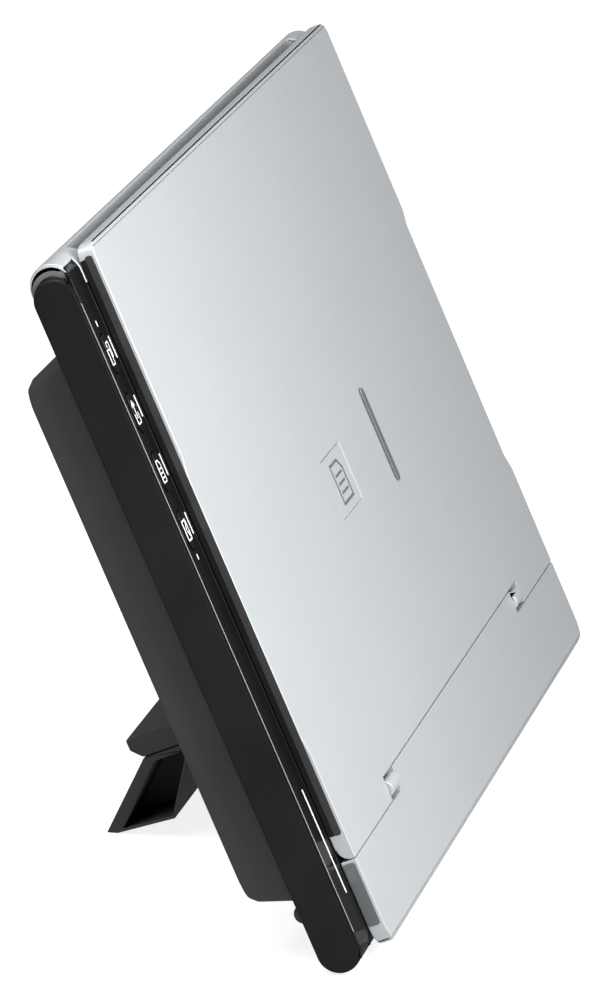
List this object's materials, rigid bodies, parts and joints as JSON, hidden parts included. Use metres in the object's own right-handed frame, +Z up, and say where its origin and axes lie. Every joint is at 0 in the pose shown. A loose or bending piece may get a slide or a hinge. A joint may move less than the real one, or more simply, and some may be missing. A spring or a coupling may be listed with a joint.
{
  "type": "flatbed document scanner",
  "caption": "Slim flatbed document scanner standing on its hinge edge, leaning back on a folding rear stand, with a hinged lid, a moving sensor carriage and a button strip.",
  "frame": {"origin": "under the middle of the bounding box, on the surface that the scanner stands on", "axes": "+Z up, +X along the hinge edge, lid facing -Y, stand towards +Y"},
  "size_m": [0.411, 0.1416, 0.2731],
  "materials": {
    "silver_shell": "metallic silver paint, satin",
    "black_shell": "satin black",
    "black_gloss": "piano black",
    "grey_housing": "fine-textured dark grey",
    "rubber": "matt black rubber",
    "steel": "plain steel",
    "glass": "clear float glass",
    "white_foam": "white foam-backed sheet",
    "circuit": "green solder mask",
    "acrylic": "clear acrylic"
  },
  "bodies": {
    "scanner_base": {"base_frame": "black_shell", "end_cap": "silver_shell", "control_ledge": "black_gloss", "button_board": "circuit", "platen_glass": "glass", "lower_housing": "grey_housing", "housing_screw_1": "steel", "housing_screw_2": "steel", "housing_screw_3": "steel", "housing_screw_4": "steel", "rubber_foot_1": "rubber", "rubber_foot_2": "rubber", "rubber_foot_3": "rubber", "rubber_foot_4": "rubber", "rear_rib": "grey_housing", "edge_foot_left": "rubber", "edge_foot_right": "rubber", "guide_rod": "steel", "drive_belt": "rubber", "belt_anchor_left": "black_shell", "belt_anchor_right": "black_shell", "main_board": "circuit", "usb_socket": "steel", "flex_cable": "white_foam", "base_pin_left": "steel", "base_pin_right": "steel", "stand_pin": "steel"},
    "hinge_panel": {"hinge_panel": "silver_shell", "hinge_knuckle_left": "silver_shell", "hinge_knuckle_right": "silver_shell", "hinge_pin_left": "steel", "hinge_pin_right": "steel"},
    "lid": {"lid_panel": "silver_shell", "lid_badge": "silver_shell", "document_mat": "white_foam"},
    "carriage": {"carriage_frame": "black_shell", "sensor_bar": "black_shell", "lens_strip": "acrylic", "light_guide": "acrylic", "drive_motor": "steel"},
    "drive_pulley": {"drive_pulley": "black_shell"},
    "stand_arm": {"stand_arm": "grey_housing"},
    "stand_leg": {"stand_leg": "grey_housing", "leg_pin_1": "steel", "leg_pin_2": "steel"},
    "carriage_lock": {"carriage_lock": "black_shell"},
    "button_1": {"button_1": "black_gloss"},
    "button_2": {"button_2": "black_gloss"},
    "button_3": {"button_3": "black_gloss"},
    "button_4": {"button_4": "black_gloss"}
  },
  "joints": [
    {"name": "hinge_panel_lift", "type": "hinge", "parent": "scanner_base", "child": "hinge_panel", "pos_m": [0, -0.06556, 0.00984], "axis": [1, 0, 0], "range_deg": [0, 28]},
    {"name": "lid_open", "type": "hinge", "parent": "hinge_panel", "child": "lid", "pos_m": [0, -0.05407, 0.0453], "axis": [1, 0, 0], "range_deg": [0, 90]},
    {"name": "carriage_travel", "type": "slide", "parent": "scanner_base", "child": "carriage", "axis": [1, 0, 0], "range_m": [0, 0.29]},
    {"name": "pulley_spin", "type": "hinge", "parent": "carriage", "child": "drive_pulley", "pos_m": [-0.1535, 0.03532, 0.17163], "axis": [0, 0.3987, 0.9171], "range_deg": [0, 3140]},
    {"name": "stand_fold", "type": "hinge", "parent": "scanner_base", "child": "stand_arm", "pos_m": [0.0065, -0.00502, 0.06432], "axis": [1, 0, 0], "range_deg": [0, 90]},
    {"name": "leg_fold", "type": "hinge", "parent": "stand_arm", "child": "stand_leg", "pos_m": [0.0065, 0.03725, 0.03689], "axis": [-1, 0, 0], "range_deg": [0, 110]},
    {"name": "carriage_lock_slide", "type": "slide", "parent": "scanner_base", "child": "carriage_lock", "axis": [1, 0, 0], "range_m": [0, 0.01]},
    {"name": "button_1_press", "type": "slide", "parent": "scanner_base", "child": "button_1", "axis": [0, 0.9171, -0.3987], "range_m": [0, 0.0012], "stiffness_N_per_m": 400},
    {"name": "button_2_press", "type": "slide", "parent": "scanner_base", "child": "button_2", "axis": [0, 0.9171, -0.3987], "range_m": [0, 0.0012], "stiffness_N_per_m": 400},
    {"name": "button_3_press", "type": "slide", "parent": "scanner_base", "child": "button_3", "axis": [0, 0.9171, -0.3987], "range_m": [0, 0.0012], "stiffness_N_per_m": 400},
    {"name": "button_4_press", "type": "slide", "parent": "scanner_base", "child": "button_4", "axis": [0, 0.9171, -0.3987], "range_m": [0, 0.0012], "stiffness_N_per_m": 400}
  ],
  "couplings": [
    {"joint": "pulley_spin", "follows": "carriage_travel", "rad_per_m": 188.68}
  ]
}
